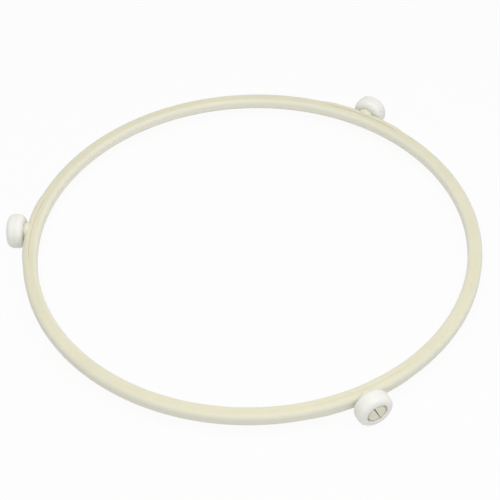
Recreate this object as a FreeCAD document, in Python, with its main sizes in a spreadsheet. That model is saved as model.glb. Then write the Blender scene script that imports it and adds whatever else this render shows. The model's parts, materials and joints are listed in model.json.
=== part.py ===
import FreeCAD, Part
import math
import os
import Sketcher

# Microwave roller ring: one moulded ring with three split snap axles, and a roller on each axle.
# Millimetres. Z is the ring's axis, and z = 0 is the oven floor that the rollers stand on.

doc = FreeCAD.newDocument("roller_ring")

# Driving sizes
driving_sizes = (
    # the ring's band
    ("ring_outer_diameter", 212),
    ("ring_width", 6.5),
    ("ring_height", 6),
    ("ring_edge_radius", 2),
    # raised arc behind each roller, with a tapered stretch at each end that sinks into the band
    ("pad_length", 37),
    ("pad_taper", 8),
    ("pad_thickness", 3.1),
    ("pad_proud", 0.3),
    ("pad_rise", 0.5),
    ("pad_sink", 0.3),
    ("pad_chamfer", 0.3),
    # collar that keeps the roller off the pad
    ("collar_diameter", 8.4),
    ("collar_length", 0.6),
    ("collar_root", 2.2),
    ("collar_chamfer", 0.4),
    # stub axle with a split, barbed head
    ("axle_diameter", 7.6),
    ("barb_height", 0.35),
    ("tip_taper", 0.05),
    ("head_lead_in", 0.55),
    ("head_setback", 0.25),
    ("slot_width", 0.6),
    ("slot_length", 6.4),
    ("slot_lean", 23),
    # roller, with a rim round the recess that holds the axle's head
    ("roller_count", 3),
    ("first_roller_angle", 60),
    ("roller_diameter", 16),
    ("roller_width", 7.5),
    ("rim_width", 3.4),
    ("rim_flat", 0.6),
    ("recess_depth", 1.6),
    ("recess_chamfer", 0.3),
    ("bore_chamfer", 0.4),
    # room to turn
    ("running_clearance", 0.08),
    ("end_clearance", 0.3),
)

# Round edges are drawn as this many equal chords, which keeps the solids light.
edge_chord_count = 3
shoulder_chord_count = 3

sizes = doc.addObject("Spreadsheet::Sheet", "sizes")
for row, (alias, number) in enumerate(driving_sizes, start=1):
    sizes.set(f"A{row}", alias.replace("_", " "))
    sizes.set(f"B{row}", str(number))
    sizes.setAlias(f"B{row}", alias)
doc.recompute()

# Places along an axle, measured outwards from the ring's own axis
ring_outer = "sizes.ring_outer_diameter / 2"
ring_inner = f"{ring_outer} - sizes.ring_width"
pad_outer = f"{ring_outer} + sizes.pad_proud"
pad_inner = f"{pad_outer} - sizes.pad_thickness"
sunk_outer = f"{ring_outer} - sizes.pad_sink"
collar_start = f"{pad_outer} - sizes.collar_root"
collar_end = f"{pad_outer} + sizes.collar_length"
roller_inner = f"{collar_end} + sizes.end_clearance"
roller_outer = f"{roller_inner} + sizes.roller_width"
recess_floor = f"{roller_outer} - sizes.recess_depth"
head_back = f"{recess_floor} + sizes.end_clearance"
head_tip = f"{roller_outer} - sizes.head_setback"
head_shoulder = f"{head_tip} - sizes.head_lead_in"
slot_root = f"{head_tip} - sizes.slot_length"

# Heights above the axles, which lie midway up the pads, and radii about an axle
pad_top = "(sizes.ring_height + sizes.pad_rise) / 2"
ring_top = f"{pad_top} - sizes.pad_rise"
ring_bottom = f"-({pad_top})"
sunk_top = f"{ring_top} - sizes.pad_sink"
sunk_bottom = f"{ring_bottom} + sizes.pad_sink"
edge_radius = "sizes.ring_edge_radius"
sunk_radius = f"{edge_radius} - sizes.pad_sink"
pad_chamfer = "sizes.pad_chamfer"
collar_radius = "sizes.collar_diameter / 2"
axle_radius = "sizes.axle_diameter / 2"
head_radius = f"{axle_radius} + sizes.barb_height"
head_tip_radius = f"{axle_radius} - sizes.tip_taper"
bore_radius = f"{axle_radius} + sizes.running_clearance"
roller_radius = "sizes.roller_diameter / 2"
recess_radius = f"{roller_radius} - sizes.rim_width"
shoulder_radius = "sizes.rim_width - sizes.rim_flat - sizes.recess_chamfer"

# Turns about the ring's axis, in degrees
degrees_per_length = f"180 / pi / ({ring_outer})"
pad_angle = f"sizes.pad_length * {degrees_per_length}"
taper_angle = f"sizes.pad_taper * {degrees_per_length}"


def value(expression):
    """The number that an expression on the sheet gives."""
    return float(sizes.evalExpression(expression))


def origin_plane(body, role):
    """One of a body's own origin planes."""
    return next(feature for feature in body.Origin.OriginFeatures if feature.Role == role)


def bound(sketch, constraint, expression):
    """Adds a constraint whose number follows an expression."""
    number = sketch.addConstraint(constraint)
    sketch.setExpression(f"Constraints[{number}]", expression)


def rounded(across, up, radius, start_angle, chords=1):
    """Points round a corner of an outline: a quarter circle as equal chords, one chord for a chamfer.

    The start angle, from the across direction, says which of the outline's four corners it is."""
    middle = math.radians(start_angle + 45)
    side = math.copysign(1, math.cos(middle))
    level = math.copysign(1, math.sin(middle))
    angles = [start_angle + 90 * step / chords for step in range(chords + 1)]
    return [(f"{across} + ({radius}) * (cos({angle} deg) - ({side}))",
             f"{up} + ({radius}) * (sin({angle} deg) - ({level}))") for angle in angles]


def rounded_box(left, right, bottom, top, radii, chords=1):
    """Corners of a rectangle, rounded by four radii from the left below round to the left above."""
    places = ((left, bottom, 180), (right, bottom, 270), (right, top, 0), (left, top, 90))
    return [point for (across, up, start_angle), radius in zip(places, radii)
            for point in rounded(across, up, radius, start_angle, chords)]


def profile(body, name, role, corners):
    """A closed sketch, its corners listed counter-clockwise as (across, up)."""
    sketch = body.newObject("Sketcher::SketchObject", name)
    sketch.AttachmentSupport = (origin_plane(body, role), [""])
    sketch.MapMode = "FlatFace"
    points = [FreeCAD.Vector(value(across), value(up), 0) for across, up in corners]
    for start, end in zip(points, points[1:] + points[:1]):
        sketch.addGeometry(Part.LineSegment(start, end), False)
    for edge, (point, (across, up)) in enumerate(zip(points, corners)):
        before = (edge - 1) % len(points)
        sketch.addConstraint(Sketcher.Constraint("Coincident", edge, 1, before, 2))
        bound(sketch, Sketcher.Constraint("DistanceX", edge, 1, point.x), across)
        bound(sketch, Sketcher.Constraint("DistanceY", edge, 1, point.y), up)
    return sketch


def revolve(body, name, sketch, axis, angle="360"):
    """Turns a sketch about one of its own axes, evenly to both sides."""
    feature = body.newObject("PartDesign::Revolution", name)
    feature.Profile = sketch
    feature.ReferenceAxis = (sketch, [axis])
    feature.Midplane = True
    feature.setExpression("Angle", angle)
    doc.recompute()
    return feature


def turned_section(body, name, corners, angle):
    """A section through the ring's axis, turned about it; its own upright is that axis."""
    sketch = profile(body, name, "XZ_Plane", corners)
    upright = FreeCAD.Vector(0, 1, 0)
    sketch.AttachmentOffset = FreeCAD.Placement(FreeCAD.Vector(), FreeCAD.Rotation(upright, value(angle)))
    sketch.setExpression("AttachmentOffset.Rotation.Angle", angle)
    return sketch


def taper(body, name, full_corners, sunk_corners, full_angle, sunk_angle):
    """A straight loft from a pad's full section to one that lies inside the band."""
    feature = body.newObject("PartDesign::AdditiveLoft", name)
    feature.Profile = turned_section(body, f"{name}_full", full_corners, full_angle)
    feature.Sections = [turned_section(body, f"{name}_sunk", sunk_corners, sunk_angle)]
    feature.Ruled = True
    doc.recompute()
    return feature


def new_body(label, angle):
    """A body turned about the ring's axis, with its own zero level at the height of the axles."""
    body = doc.addObject("PartDesign::Body", label)
    body.Label = label
    body.setExpression("Placement.Base.z", roller_radius)
    body.setExpression("Placement.Rotation.Angle", angle)
    return body


def make_ring():
    """The moulded ring: a band, and at each roller a pad, a collar and a split axle."""
    body = new_body("ring", "sizes.first_roller_angle")
    section = profile(body, "band_section", "XZ_Plane", rounded_box(
        ring_inner, ring_outer, ring_bottom, ring_top, [edge_radius] * 4, edge_chord_count))
    revolve(body, "band", section, "V_Axis")

    pad_corners = rounded_box(pad_inner, pad_outer, sunk_bottom, pad_top,
                              (pad_chamfer, sunk_radius, sunk_radius, pad_chamfer))
    sunk_corners = rounded_box(pad_inner, sunk_outer, sunk_bottom, sunk_top,
                               (pad_chamfer, sunk_radius, sunk_radius, pad_chamfer))
    pad_section = profile(body, "pad_section", "XZ_Plane", pad_corners)
    pad = revolve(body, "pad", pad_section, "V_Axis", pad_angle)
    pad_ends = [taper(body, f"{side}_pad_end", pad_corners, sunk_corners,
                      f"{turn} * {pad_angle} / 2", f"{turn} * ({pad_angle} / 2 + {taper_angle})")
                for side, turn in (("left", 1), ("right", -1))]

    axle_section = profile(body, "axle_section", "XZ_Plane", [
        (collar_start, "0"),
        (head_tip, "0"),
        (head_tip, head_tip_radius),
        (head_shoulder, head_radius),
        (head_back, head_radius),
        (head_back, axle_radius),
        (collar_end, axle_radius),
        (f"{collar_end} - sizes.collar_chamfer", collar_radius),
        (collar_start, collar_radius),
    ])
    axle = revolve(body, "axle", axle_section, "H_Axis")

    # The slot starts at its root and runs out through the axle's tip.
    half_slot = "sizes.slot_width / 2"
    slot_section = profile(body, "slot_section", "YZ_Plane", [
        (f"-{half_slot}", f"-({head_radius} + {half_slot})"),
        (half_slot, f"-({head_radius} + {half_slot})"),
        (half_slot, f"{head_radius} + {half_slot}"),
        (f"-{half_slot}", f"{head_radius} + {half_slot}"),
    ])
    slot_section.setExpression("AttachmentOffset.Base.z", slot_root)
    slot_section.setExpression("AttachmentOffset.Rotation.Angle", "sizes.slot_lean")
    slot = body.newObject("PartDesign::Pocket", "slot")
    slot.Profile = slot_section
    slot.Reversed = True
    slot.setExpression("Length", "sizes.slot_length")
    doc.recompute()
    if slot.Shape.Volume >= axle.Shape.Volume:
        raise RuntimeError("the slot cuts nothing out of the axle")

    around = body.newObject("PartDesign::PolarPattern", "around_the_ring")
    around.Originals = [pad, *pad_ends, axle, slot]
    around.Axis = (section, ["V_Axis"])
    around.Angle = 360
    around.setExpression("Occurrences", "sizes.roller_count")
    body.Tip = around
    doc.recompute()
    return body


def make_roller(number):
    """One roller: a tread with round shoulders, a bore, and a recess for the axle's head."""
    angle = f"sizes.first_roller_angle + {number - 1} * 360 / sizes.roller_count"
    body = new_body(f"roller_{number}", angle)
    section = profile(body, f"roller_{number}_section", "XZ_Plane", [
        *rounded(roller_inner, bore_radius, "sizes.bore_chamfer", 180),
        (recess_floor, bore_radius),
        (recess_floor, recess_radius),
        *rounded(roller_outer, recess_radius, "sizes.recess_chamfer", 270),
        *rounded(roller_outer, roller_radius, shoulder_radius, 0, shoulder_chord_count),
        *rounded(roller_inner, roller_radius, shoulder_radius, 90, shoulder_chord_count),
    ])
    revolve(body, f"roller_{number}_turned", section, "H_Axis")
    return body


roller_count = int(value("sizes.roller_count"))
pieces = [make_ring()] + [make_roller(number) for number in range(1, roller_count + 1)]
doc.recompute()

# Nothing is written unless every feature was built and every piece is one sound solid.
for item in doc.Objects:
    if "Invalid" in item.State or "Error" in item.State:
        raise RuntimeError(f"{item.Label} was not built: {item.State}")
for piece in pieces:
    if piece.Shape.isNull() or not piece.Shape.isValid() or len(piece.Shape.Solids) != 1:
        raise RuntimeError(f"{piece.Label} is not one sound solid")

os.makedirs("parts", exist_ok=True)
for piece in pieces:
    piece.Shape.exportStep(f"parts/{piece.Label}.step")
    print(piece.Label, round(piece.Shape.Volume, 1), "mm3", piece.Shape.BoundBox)
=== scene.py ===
import json
import math

import bpy
import numpy as np
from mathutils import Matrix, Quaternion, Vector


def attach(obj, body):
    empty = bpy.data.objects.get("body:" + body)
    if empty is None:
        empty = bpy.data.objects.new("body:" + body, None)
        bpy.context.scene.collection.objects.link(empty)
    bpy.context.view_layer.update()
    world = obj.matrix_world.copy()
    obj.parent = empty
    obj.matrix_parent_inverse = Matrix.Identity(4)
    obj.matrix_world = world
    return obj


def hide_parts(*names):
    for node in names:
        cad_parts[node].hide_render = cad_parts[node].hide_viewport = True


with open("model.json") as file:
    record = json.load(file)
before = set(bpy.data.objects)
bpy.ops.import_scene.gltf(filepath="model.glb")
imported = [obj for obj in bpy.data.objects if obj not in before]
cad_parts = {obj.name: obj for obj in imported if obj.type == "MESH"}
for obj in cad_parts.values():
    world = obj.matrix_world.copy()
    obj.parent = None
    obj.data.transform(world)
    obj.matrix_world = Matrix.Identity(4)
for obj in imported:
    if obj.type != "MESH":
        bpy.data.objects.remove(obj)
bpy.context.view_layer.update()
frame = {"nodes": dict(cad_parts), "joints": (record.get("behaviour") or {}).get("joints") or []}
scene = bpy.context.scene
scene.view_settings.view_transform = "Standard"
print("frame loaded:", ", ".join(sorted(frame["nodes"])))

# each axle's own directions: out along the axle, to its side, and up
axles = []
for joint in frame["joints"]:
    out = np.array(joint["axis"], float)
    axles.append({
        "roller": joint["child"],
        "angle": math.atan2(out[1], out[0]),
        "height": joint["pos_m"][2],
        "out": out,
        "side": np.array([-out[1], out[0], 0.0]),
        "up": np.array([0.0, 0.0, 1.0]),
    })
midHeight = axles[0]["height"]


# Surfaces

sharpAngle = 50  # degrees past which an edge is drawn sharp


def roundCorners(corners, toPrev, toNext, reachPrev, reachNext, steps):
    # a square corner becomes a quarter ellipse, swept by an angle from 0 to 90 degrees:
    # corner + reachPrev * (1 - sin) towards the corner before + reachNext * (1 - cos) towards the next
    angle = np.linspace(0, np.pi / 2, steps + 1)[:, None]
    backPart = reachPrev[..., None, None] * (1 - np.sin(angle)) * toPrev[:, None, :]
    onPart = reachNext[..., None, None] * (1 - np.cos(angle)) * toNext[:, None, :]
    return corners[..., None, :] + backPart + onPart


def roundness(steps):
    return np.sin(2 * np.linspace(0, np.pi / 2, steps + 1))  # 0 where an arc starts and ends, 1 half way


def gridPart(points, edge, wall=0.0, capped=False):
    # rows of points, each row a closed loop; the rows close too, or end in flat caps
    rows, columns = points.shape[:2]
    index = np.arange(rows * columns).reshape(rows, columns)
    here, ahead = (index[:-1], index[1:]) if capped else (index, np.roll(index, -1, 0))
    quads = np.stack([here, ahead, np.roll(ahead, -1, 1), np.roll(here, -1, 1)], -1).reshape(-1, 4)
    faces = quads.tolist()
    if capped:
        faces += [index[0].tolist(), index[-1][::-1].tolist()]
    edge, wall = (np.broadcast_to(values, (rows, columns)).ravel() for values in (edge, wall))
    return points.reshape(-1, 3), faces, edge, wall


def makePiece(name, parts, body, node, material):
    points, faces, edge, wall = zip(*parts)
    starts = np.cumsum([0] + [len(some) for some in points]).tolist()
    faces = [[corner + start for corner in face] for start, some in zip(starts, faces) for face in some]
    mesh = bpy.data.meshes.new(name)
    mesh.from_pydata(np.concatenate(points).tolist(), [], faces)
    for label, values in (("edge", edge), ("wall", wall)):
        mesh.attributes.new(label, "FLOAT", "POINT").data.foreach_set("value", np.concatenate(values))
    mesh.polygons.foreach_set("use_smooth", np.ones(len(mesh.polygons), bool))
    mesh.set_sharp_from_angle(angle=math.radians(sharpAngle))
    mesh.materials.append(material)
    piece = bpy.data.objects.new(name, mesh)
    scene.collection.objects.link(piece)
    normals = piece.modifiers.new("evenFlats", "WEIGHTED_NORMAL")  # keeps the flats flat beside the rounds
    normals.keep_sharp = True
    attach(piece, body)
    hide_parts(node)
    print(name, len(mesh.polygons), "faces")


# Ring: a band with a raised pad behind each roller

ringSizes = {
    "outerRadius": 0.106,
    "width": 0.0065,
    "height": 0.0060,
    "edgeRound": 0.0020,
    "padLength": 0.0520,
    "padThickness": 0.0031,
    "padProud": 0.0003,
    "padRise": 0.0005,
    "padEnd": 0.0090,  # length over which a pad fades into the band
    "stepRound": 0.0005,
    "stepTopFade": 6,  # powers by which the painted shade line at a step's foot fades
    "stepFootFade": 1.5,
    "turnSteps": 288,
    "endSteps": 12,
    "cornerSteps": 8,
}


def ringBand(sizes):
    # the band's section, carried round the ring's axis; where a pad is, the outer of its six corners move out
    # and the two of the pad's top rise, by a share that goes from 0 to 1 as 3s^2 - 2s^3 over a pad's end
    outer = sizes["outerRadius"]
    padHalf = sizes["padLength"] / 2
    endTurn = np.linspace(padHalf - sizes["padEnd"], padHalf, sizes["endSteps"]) / outer
    turn = [np.linspace(0, 2 * np.pi, sizes["turnSteps"], endpoint=False)]
    turn += [(axle["angle"] + sign * endTurn) % (2 * np.pi) for axle in axles for sign in (-1, 1)]
    turn = np.unique(np.concatenate(turn).round(6))
    axleAngles = np.array([axle["angle"] for axle in axles])
    offAxle = np.abs((turn[:, None] - axleAngles + np.pi) % (2 * np.pi) - np.pi).min(1) * outer
    s = np.clip((padHalf - offAxle) / sizes["padEnd"], 0, 1)
    share = s * s * (3 - 2 * s)

    base = -(sizes["height"] + sizes["padRise"]) / 2  # below the axles, which lie midway up the pads
    rise = sizes["padRise"] * share
    inside = np.full_like(turn, outer - sizes["width"])
    step = np.full_like(turn, outer + sizes["padProud"] - sizes["padThickness"])
    outside = outer + sizes["padProud"] * share
    low, high = np.full_like(turn, base), np.full_like(turn, base + sizes["height"])
    across = np.stack([inside, outside, outside, step, step, inside], 1)
    level = np.stack([low, low, high + rise, high + rise, high, high], 1)
    toPrev = np.array([[0, 1], [-1, 0], [0, -1], [1, 0], [0, 1], [1, 0]], float)
    toNext = np.array([[1, 0], [0, 1], [-1, 0], [0, -1], [-1, 0], [0, -1]], float)
    bandEdge = np.full_like(turn, sizes["edgeRound"])
    stepFlat = np.full_like(turn, sizes["stepRound"])
    stepTall = rise / 2
    reachPrev = np.stack([bandEdge, bandEdge, bandEdge, stepFlat, stepTall, bandEdge], 1)
    reachNext = np.stack([bandEdge, bandEdge, bandEdge, stepTall, stepFlat, bandEdge], 1)

    steps = sizes["cornerSteps"]
    section = roundCorners(np.stack([across, level], -1), toPrev, toNext, reachPrev, reachNext, steps)
    creased = np.tile(roundness(steps), (6, 1))
    # painted shade: the step's wall and its foot on the band are painted dark, fading along the two arcs
    creased[3] = -np.linspace(0, 1, steps + 1) ** sizes["stepTopFade"]
    creased[4] = -np.linspace(1, 0, steps + 1) ** sizes["stepFootFade"]
    always = np.ones_like(share)
    edge = np.stack([always, always, always, share, share, always], 1)[..., None] * creased
    toWall = np.sin(np.linspace(0, np.pi / 2, steps + 1)) ** 2  # from 0 on a flat to 1 on a wall
    flat = np.zeros_like(toWall)
    # painted light: this mask makes the walls paler and whiter than the flats
    wall = np.stack([toWall[::-1], toWall, toWall[::-1], flat, flat, toWall])
    keep = np.ones((6, steps + 1), bool)
    keep[4, 0] = False  # the step's two arcs meet in one point
    section, edge, wall = section[:, keep], edge[:, keep], wall[keep]
    points = np.stack([
        section[..., 0] * np.cos(turn)[:, None],
        section[..., 0] * np.sin(turn)[:, None],
        midHeight + section[..., 1],
    ], -1)
    return gridPart(points, edge, wall)


# Axles: a collar, and two half-round legs with barbed heads and a slot between them

axleSizes = {
    "collarStart": 0.1041,
    "collarEnd": 0.1069,
    "collarRadius": 0.0042,
    "collarRound": 0.0006,
    "collarRootRound": 0.0016,
    "rootRoundDepth": 0.6,  # how deep a root's rounding goes, as a share of its length
    "rootStart": 0.1065,
    "rootEnd": 0.10805,
    "rootRadius": 0.0038,
    "rootRound": 0.0001,
    "rootRootRound": 0.0001,
    "legStart": 0.1080,
    "legRadius": 0.0038,
    "headRadius": 0.00415,
    "tipRadius": 0.00375,
    "headBack": 0.1134,
    "headShoulder": 0.1139,
    "tip": 0.11445,
    "slotWidth": 0.00036,
    "slotLean": -23,  # degrees from upright
    "edgeRound": 0.00015,
    "shoulderEase": 0.3,  # share of the edge's radius that eases the head's shoulder
    "edgeSpread": 0.6,  # radians over which the paler edge beside the slot fades
    "wall": 0.5,  # share of the painted light that makes the band's walls paler
    "cornerSteps": 6,
    "aroundSteps": 72,
}


def onAxle(axle, along, across, level):
    # a point so far out along the axle, to its side and up
    sideways = along[..., None] * axle["out"] + across[..., None] * axle["side"]
    return sideways + (level[..., None] + midHeight) * axle["up"]


def drum(axle, sizes, name):
    # the collar, or the axle's solid root: a half section with round rims, longer ones at its root,
    # turned about the axle
    radius = sizes[name + "Radius"]
    corners = np.array([[sizes[name + "End"], radius], [sizes[name + "Start"], radius]])
    toPrev, toNext = np.array([[0, -1], [1, 0]], float), np.array([[-1, 0], [0, -1]], float)
    rim, root = sizes[name + "Round"], sizes[name + "RootRound"]
    reachPrev, reachNext = np.array([rim, root]), np.array([rim, sizes["rootRoundDepth"] * root])
    steps = sizes["cornerSteps"]
    section = roundCorners(corners, toPrev, toNext, reachPrev, reachNext, steps).reshape(-1, 2)
    edge = np.append(roundness(steps), np.zeros(steps + 1))[:, None]
    around = np.linspace(0, 2 * np.pi, sizes["aroundSteps"], endpoint=False)
    along = np.repeat(section[:, :1], len(around), 1)
    points = onAxle(axle, along, section[:, 1:] * np.cos(around), section[:, 1:] * np.sin(around))
    return gridPart(points, edge, sizes["wall"], True)


def leg(axle, sizes, turned):
    # a half-round section, found by its outward direction: a half disc drawn in by the edge's radius,
    # plus that radius along the direction. The disc's radius follows the leg's profile from tip to root
    rim = sizes["edgeRound"]
    sweep = np.linspace(0, np.pi / 2, sizes["cornerSteps"] + 1)
    tipEdge = np.stack([sizes["tip"] - rim * (1 - np.cos(sweep)), rim * (1 - np.sin(sweep))], 1)
    profile = np.array([
        [sizes["tip"] - rim, sizes["tipRadius"]],
        [sizes["headShoulder"] + rim, sizes["headRadius"] - rim * sizes["shoulderEase"]],
        [sizes["headShoulder"] - rim, sizes["headRadius"]],
        [sizes["headBack"] + rim, sizes["headRadius"]],
        [sizes["headBack"], sizes["headRadius"] - rim],
        [sizes["headBack"], sizes["legRadius"]],
        [sizes["legStart"], sizes["legRadius"]],
    ])
    along = np.concatenate([tipEdge[:-1, 0], profile[:, 0]])[:, None]
    inset = np.concatenate([tipEdge[:-1, 1], np.zeros(len(profile))])[:, None]
    tipRadii = np.full(len(tipEdge) - 1, sizes["tipRadius"])
    radius = np.concatenate([tipRadii, profile[:, 1]])[:, None] - inset - rim
    flat = sizes["slotWidth"] / 2 + inset + rim
    direction = np.linspace(-np.pi / 2, 3 * np.pi / 2, sizes["aroundSteps"], endpoint=False)[None, :]
    firstArc = np.arcsin(flat / radius)
    onArc = np.clip(direction, firstArc, np.pi - firstArc)
    across = radius * np.cos(onArc) + rim * np.cos(direction)
    away = radius * np.sin(onArc) + rim * np.sin(direction)
    lean = math.radians(sizes["slotLean"]) + turned
    side = across * np.sin(lean) + away * np.cos(lean)
    level = across * np.cos(lean) - away * np.sin(lean)
    offArc = onArc - direction  # 0 all along the round side
    edge = np.exp(-(offArc / sizes["edgeSpread"]) ** 2) * (offArc != 0)
    points = onAxle(axle, np.broadcast_to(along, across.shape), side, level)
    return gridPart(points, edge, sizes["wall"], True)


# Rollers

rollerSizes = {
    "inner": 0.1072,
    "outer": 0.1147,
    "radius": 0.0080,
    "boreRadius": 0.00388,
    "recessRadius": 0.0046,
    "recessDepth": 0.0016,
    "boreRound": 0.0003,
    "floorRound": 0.0004,
    "mouthRound": 0.0006,
    "shoulderRound": 0.0025,
    "shoulderEdge": 0.5,  # how pale the shoulders are, beside 1 on the small edges
    "cornerSteps": 10,
    "aroundSteps": 128,
}


def roller(axle, sizes):
    # the section of a wheel with a bore and a recess, its six corners rounded, turned about the axle
    inner, outer = sizes["inner"], sizes["outer"]
    floor = outer - sizes["recessDepth"]
    corners = np.array([
        [inner, sizes["boreRadius"]],
        [floor, sizes["boreRadius"]],
        [floor, sizes["recessRadius"]],
        [outer, sizes["recessRadius"]],
        [outer, sizes["radius"]],
        [inner, sizes["radius"]],
    ])
    toPrev = np.array([[0, 1], [-1, 0], [0, -1], [-1, 0], [0, -1], [1, 0]], float)
    toNext = np.array([[1, 0], [0, 1], [1, 0], [0, 1], [-1, 0], [0, -1]], float)
    rounds = ("boreRound", "boreRound", "floorRound", "mouthRound", "shoulderRound", "shoulderRound")
    reach = np.array([sizes[name] for name in rounds])
    steps = sizes["cornerSteps"]
    section = roundCorners(corners, toPrev, toNext, reach, reach, steps).reshape(-1, 2)
    shoulder = sizes["shoulderEdge"]
    # painted shade: the -1 darkens the corner at the recess floor
    edge = (np.array([1, 1, -1, 1, shoulder, shoulder])[:, None] * roundness(steps)).ravel()
    around = -np.linspace(0, 2 * np.pi, sizes["aroundSteps"], endpoint=False)[:, None]
    along = np.repeat(section[None, :, 0], len(around), 0)
    points = onAxle(axle, along, section[:, 1] * np.cos(around), section[:, 1] * np.sin(around))
    return gridPart(points, edge)


# Materials

def newGroup(name, inputs, outputs):
    group = bpy.data.node_groups.new(name, "ShaderNodeTree")
    for label, kind, value in inputs:
        socket = group.interface.new_socket(label, in_out="INPUT", socket_type=kind)
        if value is not None:
            socket.default_value = value
    for label, kind in outputs:
        group.interface.new_socket(label, in_out="OUTPUT", socket_type=kind)
    return group, group.nodes.new("NodeGroupInput"), group.nodes.new("NodeGroupOutput")


def noise(tree, vector, scale, detail, roughness):
    node = tree.nodes.new("ShaderNodeTexNoise")
    node.inputs["Detail"].default_value = detail
    node.inputs["Roughness"].default_value = roughness
    tree.links.new(vector, node.inputs["Vector"])
    tree.links.new(scale, node.inputs["Scale"])
    return node.outputs["Fac"]


def mapRange(tree, value, fromLow, fromHigh, toLow, toHigh):
    node = tree.nodes.new("ShaderNodeMapRange")
    tree.links.new(value, node.inputs["Value"])
    ends = {"From Min": fromLow, "From Max": fromHigh, "To Min": toLow, "To Max": toHigh}
    for label, number in ends.items():
        node.inputs[label].default_value = number
    return node.outputs["Result"]


def math2(tree, operation, first, second):
    node = tree.nodes.new("ShaderNodeMath")
    node.operation = operation
    for socket, value in zip(node.inputs, (first, second)):
        if hasattr(value, "is_output"):
            tree.links.new(value, socket)
        else:
            socket.default_value = value
    return node.outputs["Value"]


def attribute(tree, name):
    node = tree.nodes.new("ShaderNodeAttribute")
    node.attribute_name = name
    return node.outputs["Fac"]


def mixColour(tree, share, first, second):
    node = tree.nodes.new("ShaderNodeMix")
    node.data_type = "RGBA"
    tree.links.new(share, node.inputs["Factor"])
    for socket, value in zip((node.inputs[6], node.inputs[7]), (first, second)):
        if hasattr(value, "is_output"):
            tree.links.new(value, socket)
        else:
            socket.default_value = value
    return node.outputs[2]


# what every moulded plastic has: cloudy pigment, a fine spark-eroded grain and a few fine rub marks
skinMarks = {
    "Cloud": {"scale": 60.0, "detail": 4.0, "roughness": 0.60, "low": 0.30, "high": 0.70},
    "Grain": {"scale": 2500.0, "detail": 3.0, "roughness": 0.65, "low": 0.00, "high": 1.00},
    "Rub": {"scale": 220.0, "detail": 6.0, "roughness": 0.75, "low": 0.58, "high": 0.74},
}


def mouldedSkin():
    scales = [(label + " Scale", "NodeSocketFloat", mark["scale"]) for label, mark in skinMarks.items()]
    masks = [(label, "NodeSocketFloat") for label in skinMarks]
    group, given, result = newGroup("mouldedSkin", [("Vector", "NodeSocketVector", None)] + scales, masks)
    for label, mark in skinMarks.items():
        scale = given.outputs[label + " Scale"]
        mask = noise(group, given.outputs["Vector"], scale, mark["detail"], mark["roughness"])
        group.links.new(mapRange(group, mask, mark["low"], mark["high"], 0.0, 1.0), result.inputs[label])
    return group


skinGroup = mouldedSkin()


def plastic(name, look):
    material = bpy.data.materials.new(name)
    material.use_nodes = True
    tree = material.node_tree
    shader = tree.nodes["Principled BSDF"]
    place = tree.nodes.new("ShaderNodeTexCoord")
    skin = tree.nodes.new("ShaderNodeGroup")
    skin.node_tree = skinGroup
    tree.links.new(place.outputs["Object"], skin.inputs["Vector"])
    for label in skinMarks:
        skin.inputs[label + " Scale"].default_value = look[label + " Scale"]
    edge = attribute(tree, "edge")
    rounds = mapRange(tree, edge, 0.0, 1.0, 0.0, look["edgeShare"])
    # painted shade: negative edge values darken the creases towards the crease colour
    creaseShade = mapRange(tree, edge, 0.0, -1.0, 0.0, look["creaseShare"])
    body = mixColour(tree, skin.outputs["Cloud"], look["colour"], look["cloudColour"])
    # painted light: where the wall attribute is high, the colour turns paler and whiter
    if "wallColour" in look:
        paintedWallLight = mapRange(tree, attribute(tree, "wall"), 0.0, 1.0, 0.0, look["wallShare"])
        body = mixColour(tree, paintedWallLight, body, look["wallColour"])
    body = mixColour(tree, rounds, body, look["edgeColour"])
    body = mixColour(tree, creaseShade, body, look["creaseColour"])
    tree.links.new(body, shader.inputs["Base Color"])
    rough = math2(tree, "MULTIPLY_ADD", skin.outputs["Cloud"], look["roughSpread"])
    rough.node.inputs[2].default_value = look["roughness"]
    rough = math2(tree, "SUBTRACT", rough, math2(tree, "MULTIPLY", skin.outputs["Rub"], look["rubShine"]))
    tree.links.new(rough, shader.inputs["Roughness"])
    bump = tree.nodes.new("ShaderNodeBump")
    bump.inputs["Strength"].default_value = look["grainStrength"]
    bump.inputs["Distance"].default_value = look["grainDepth"]
    tree.links.new(skin.outputs["Grain"], bump.inputs["Height"])
    tree.links.new(bump.outputs["Normal"], shader.inputs["Normal"])
    shader.inputs["IOR"].default_value = look["ior"]
    shader.inputs["Specular IOR Level"].default_value = look["gloss"]
    shader.inputs["Subsurface Weight"].default_value = look["glow"]
    shader.inputs["Subsurface Radius"].default_value = look["glowReach"]
    shader.inputs["Subsurface Scale"].default_value = look["glowScale"]
    return material


creamLook = {
    "colour": (0.790, 0.755, 0.575, 1.0),
    "cloudColour": (0.745, 0.720, 0.545, 1.0),
    "wallColour": (0.825, 0.815, 0.705, 1.0),  # painted light: upright walls painted paler and whiter than the faces that lie up or down
    "wallShare": 0.9,
    "edgeColour": (0.800, 0.785, 0.660, 1.0),
    # painted shade: dark colour at the foot of the pads' steps
    "creaseColour": (0.480, 0.425, 0.270, 1.0),
    "edgeShare": 0.2,
    "creaseShare": 0.9,
    "Cloud Scale": 45.0,
    "Grain Scale": 2600.0,
    "Rub Scale": 240.0,
    "roughness": 0.46,
    "roughSpread": 0.10,
    "rubShine": 0.08,
    "grainStrength": 0.35,
    "grainDepth": 0.00006,
    "ior": 1.49,
    "gloss": 0.40,
    "glow": 0.20,
    "glowReach": (1.0, 0.9, 0.6),
    "glowScale": 0.0010,
}

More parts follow.
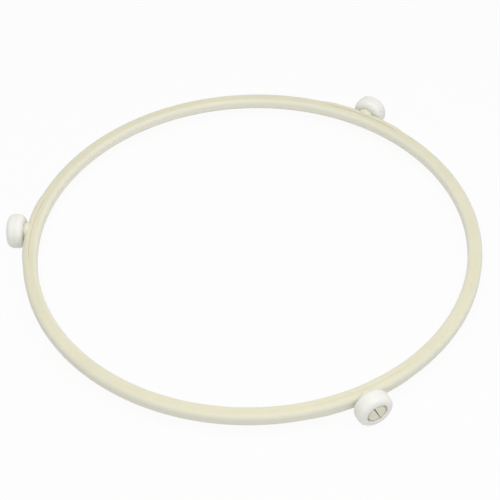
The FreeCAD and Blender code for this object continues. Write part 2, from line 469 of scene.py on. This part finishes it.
whiteLook = {
    "colour": (0.880, 0.873, 0.825, 1.0),
    "cloudColour": (0.860, 0.853, 0.808, 1.0),
    "edgeColour": (0.890, 0.885, 0.845, 1.0),
    # painted shade in the corner at the recess floor
    "creaseColour": (0.700, 0.670, 0.560, 1.0),
    "edgeShare": 0.4,
    "creaseShare": 0.15,
    "Cloud Scale": 120.0,
    "Grain Scale": 3200.0,
    "Rub Scale": 420.0,
    "roughness": 0.34,
    "roughSpread": 0.10,
    "rubShine": 0.10,
    "grainStrength": 0.20,
    "grainDepth": 0.00004,
    "ior": 1.48,
    "gloss": 0.45,
    "glow": 0.50,
    "glowReach": (1.0, 0.95, 0.8),
    "glowScale": 0.0030,
}

creamPlastic = plastic("creamPlastic", creamLook)
whitePlastic = plastic("whitePlastic", whiteLook)
print("materials made")

ringParts = [ringBand(ringSizes)]
for axle in axles:
    ringParts += [drum(axle, axleSizes, name) for name in ("collar", "root")]
    ringParts += [leg(axle, axleSizes, turned) for turned in (0.0, math.pi)]
makePiece("ringMoulding", ringParts, "ring", "ring", creamPlastic)
for axle in axles:
    name = axle["roller"]
    makePiece(name + "Wheel", [roller(axle, rollerSizes)], name, name, whitePlastic)


# Floor and light

studio = {
    "floorHalf": 3.0,
    "floorColour": (0.78, 0.78, 0.78, 1.0),
    "floorWhite": 0.93,  # share of plain white that the camera sees in the floor
    "skyLow": 0.70,  # at the horizon, as the walls of a light tent
    "skyHigh": 0.44,
    "skySide": 0.10,  # more on the right and as much less on the left
    "boxSize": 0.5,
    "boxPlace": (0.03, -0.10, 0.42),
    "boxPower": 1.27,
}


def seenDirectly(tree):
    path = tree.nodes.new("ShaderNodeLightPath")
    mirrored = math2(tree, "MAXIMUM", path.outputs["Is Glossy Ray"], path.outputs["Is Transmission Ray"])
    return math2(tree, "MAXIMUM", path.outputs["Is Camera Ray"], mirrored)


def makeFloor():
    half = studio["floorHalf"]
    mesh = bpy.data.meshes.new("floor")
    corners = [(-half, -half, 0), (half, -half, 0), (half, half, 0), (-half, half, 0)]
    mesh.from_pydata(corners, [], [(0, 1, 2, 3)])
    floor = bpy.data.objects.new("floor", mesh)
    scene.collection.objects.link(floor)
    material = bpy.data.materials.new("paleFloor")
    material.use_nodes = True
    tree = material.node_tree
    shader = tree.nodes["Principled BSDF"]
    shader.inputs["Base Color"].default_value = studio["floorColour"]
    shader.inputs["Roughness"].default_value = 1.0
    shader.inputs["Specular IOR Level"].default_value = 0.0
    white = tree.nodes.new("ShaderNodeEmission")
    mix = tree.nodes.new("ShaderNodeMixShader")
    tree.links.new(math2(tree, "MULTIPLY", seenDirectly(tree), studio["floorWhite"]), mix.inputs["Fac"])
    tree.links.new(shader.outputs["BSDF"], mix.inputs[1])
    tree.links.new(white.outputs["Emission"], mix.inputs[2])
    tree.links.new(mix.outputs["Shader"], tree.nodes["Material Output"].inputs["Surface"])
    mesh.materials.append(material)


def makeLight():
    world = bpy.data.worlds.new("studio")
    world.use_nodes = True
    scene.world = world
    tree = world.node_tree
    place = tree.nodes.new("ShaderNodeTexCoord")
    split = tree.nodes.new("ShaderNodeSeparateXYZ")
    tree.links.new(place.outputs["Generated"], split.inputs["Vector"])
    level = mapRange(tree, split.outputs["Z"], 0.0, 1.0, studio["skyLow"], studio["skyHigh"])
    level = math2(tree, "ADD", level, math2(tree, "MULTIPLY", split.outputs["X"], studio["skySide"]))
    sky = tree.nodes["Background"]
    sky.inputs["Color"].default_value = (1, 1, 1, 1)
    tree.links.new(math2(tree, "MAXIMUM", level, seenDirectly(tree)), sky.inputs["Strength"])
    lamp = bpy.data.lights.new("softBox", "AREA")
    lamp.size = studio["boxSize"]
    lamp.energy = studio["boxPower"]
    box = bpy.data.objects.new("softBox", lamp)
    box.location = studio["boxPlace"]
    box.rotation_euler = Vector(studio["boxPlace"]).to_track_quat("Z", "Y").to_euler()
    box.visible_camera = False  # a view from above looks through it
    scene.collection.objects.link(box)


makeFloor()
makeLight()
print("floor and light set")


# Camera

cameraView = {
    "azimuth": 4.87,
    "elevation": 44.58,
    "roll": -1.77,
    "distance": 0.5577,
    "focalPixels": 1196.5,
    "centrePixel": (251.95, 238.19),  # where the middle of the band falls
    "imagePixels": 500,
    "sensorWidth": 36.0,
    "nearest": 0.01,
    "furthest": 20.0,
}


def makeCamera():
    turn, lift = math.radians(cameraView["azimuth"]), math.radians(cameraView["elevation"])
    back = Vector((math.sin(turn) * math.cos(lift), -math.cos(turn) * math.cos(lift), math.sin(lift)))
    size = cameraView["imagePixels"]
    data = bpy.data.cameras.new("camera")
    data.sensor_width = cameraView["sensorWidth"]
    data.lens = cameraView["focalPixels"] / size * data.sensor_width
    data.shift_x = 0.5 - cameraView["centrePixel"][0] / size
    data.shift_y = cameraView["centrePixel"][1] / size - 0.5
    data.clip_start, data.clip_end = cameraView["nearest"], cameraView["furthest"]
    camera = bpy.data.objects.new("camera", data)
    camera.location = Vector((0, 0, midHeight - ringSizes["padRise"] / 2)) + back * cameraView["distance"]
    camera.rotation_mode = "QUATERNION"
    level = (-back).to_track_quat("-Z", "Y")
    camera.rotation_quaternion = level @ Quaternion((0, 0, 1), math.radians(cameraView["roll"]))
    scene.collection.objects.link(camera)
    scene.camera = camera


makeCamera()
print("camera set")
